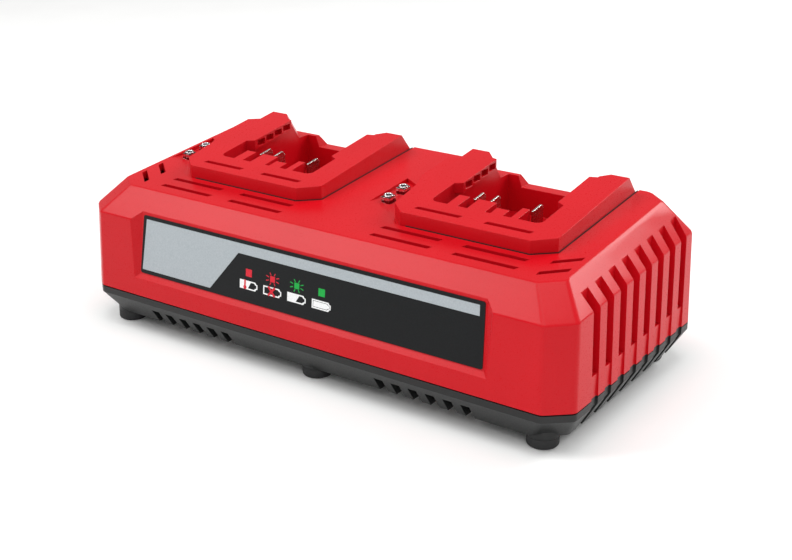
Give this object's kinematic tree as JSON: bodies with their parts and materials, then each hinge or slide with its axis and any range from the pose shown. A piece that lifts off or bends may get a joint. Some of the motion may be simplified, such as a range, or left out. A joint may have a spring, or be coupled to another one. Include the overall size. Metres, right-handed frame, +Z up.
{
  "type": "power tool battery charger",
  "caption": "Dual-port charger for slide battery packs: red vented housing with two raised docks, rail lips and contact blades, on a black base with rubber feet.",
  "frame": {"origin": "centre of the footprint, on the surface that the feet stand on", "axes": "+X along the housing, to the right seen from the label side; +Y to the rear, where the packs slide in; +Z up"},
  "size_m": [0.242, 0.119, 0.0799],
  "materials": {
    "red_housing": "satin moulded, fine grain",
    "black_base": "matte moulded",
    "foot_rubber": "matte",
    "gland_rubber": "matte",
    "label_film": "printed satin film",
    "black_insulator": "satin",
    "plated_contact": "bright tin plate",
    "lamp_lens": "clear polished",
    "led_package": "gloss",
    "circuit_board": "solder mask",
    "white_nylon": "satin",
    "lead_insulation": "satin",
    "zinc_steel": "bright zinc",
    "heatsink_aluminium": "brushed",
    "package_resin": "matte",
    "capacitor_sleeve": "gloss sleeve",
    "copper_winding": "enamelled copper",
    "fuse_glass": "clear",
    "ferrite": "matte",
    "winding_tape": "polyester tape",
    "fan_plastic": "satin"
  },
  "bodies": {
    "charger": {"board_screws": "zinc_steel", "cord_gland": "gland_rubber", "dock_screws": "zinc_steel", "fan_frame": "fan_plastic", "foot_front_left": "foot_rubber", "foot_front_middle": "foot_rubber", "foot_front_right": "foot_rubber", "foot_rear_left": "foot_rubber", "foot_rear_middle": "foot_rubber", "foot_rear_right": "foot_rubber", "front_label": "label_film", "housing_screws": "zinc_steel", "inlet_plug": "white_nylon", "input_capacitor": "capacitor_sleeve", "left_blade_negative": "plated_contact", "left_blade_positive": "plated_contact", "left_blade_signal": "plated_contact", "left_dock": "red_housing", "left_dock_board": "circuit_board", "left_dock_leads": "lead_insulation", "left_dock_plug": "white_nylon", "left_lamp_board": "circuit_board", "left_led_front": "led_package", "left_led_rear": "led_package", "left_lens_front": "lamp_lens", "left_lens_rear": "lamp_lens", "left_terminal_block": "black_insulator", "line_choke": "copper_winding", "line_fuse": "fuse_glass", "lower_housing": "black_base", "main_board": "circuit_board", "output_capacitor_front": "capacitor_sleeve", "output_capacitor_rear": "capacitor_sleeve", "output_heatsink": "heatsink_aluminium", "output_rectifier": "package_resin", "primary_heatsink": "heatsink_aluminium", "primary_transistor": "package_resin", "right_blade_negative": "plated_contact", "right_blade_positive": "plated_contact", "right_blade_signal": "plated_contact", "right_dock": "red_housing", "right_dock_board": "circuit_board", "right_dock_leads": "lead_insulation", "right_dock_plug": "white_nylon", "right_lamp_board": "circuit_board", "right_led_front": "led_package", "right_led_rear": "led_package", "right_lens_front": "lamp_lens", "right_lens_rear": "lamp_lens", "right_terminal_block": "black_insulator", "transformer_core": "ferrite", "transformer_winding": "winding_tape", "upper_housing": "red_housing"},
    "rotor": {"fan_rotor": "fan_plastic"}
  },
  "joints": [
    {"name": "fan_spin", "type": "hinge", "parent": "charger", "child": "rotor", "pos_m": [-0.087, 0, 0.0272], "axis": [1, 0, 0], "continuous": true}
  ]
}
